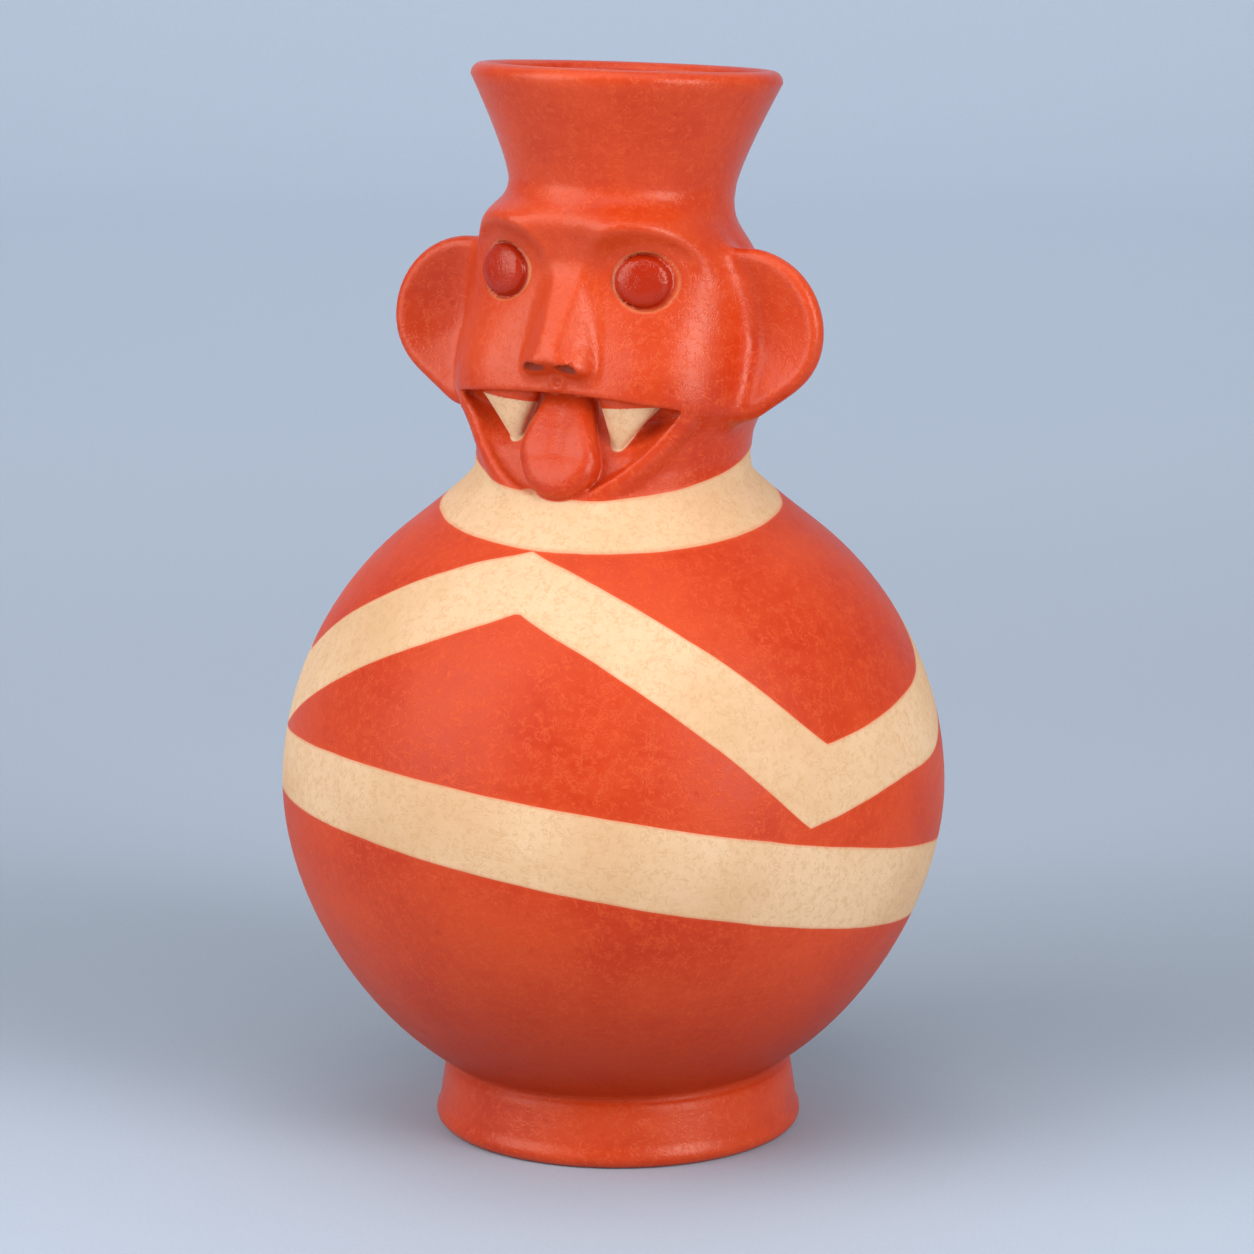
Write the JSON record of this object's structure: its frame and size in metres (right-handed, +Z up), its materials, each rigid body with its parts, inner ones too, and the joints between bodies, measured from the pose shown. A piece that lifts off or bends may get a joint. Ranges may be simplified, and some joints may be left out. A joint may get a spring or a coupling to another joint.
{
  "type": "pottery jug",
  "caption": "Round-bodied pottery jug on a flared foot ring, with a fanged, big-eared head modelled on its neck and a flared open spout on top.",
  "frame": {"origin": "centre of the footprint, on the surface that the foot ring stands on", "axes": "+Z up along the body's axis; the head's face looks along -Y; +X is to the head's own left"},
  "size_m": [0.179, 0.179, 0.292],
  "materials": {
    "clay": "burnished red slip with matte cream bands"
  },
  "bodies": {
    "root": {"jug": "clay"}
  },
  "joints": []
}
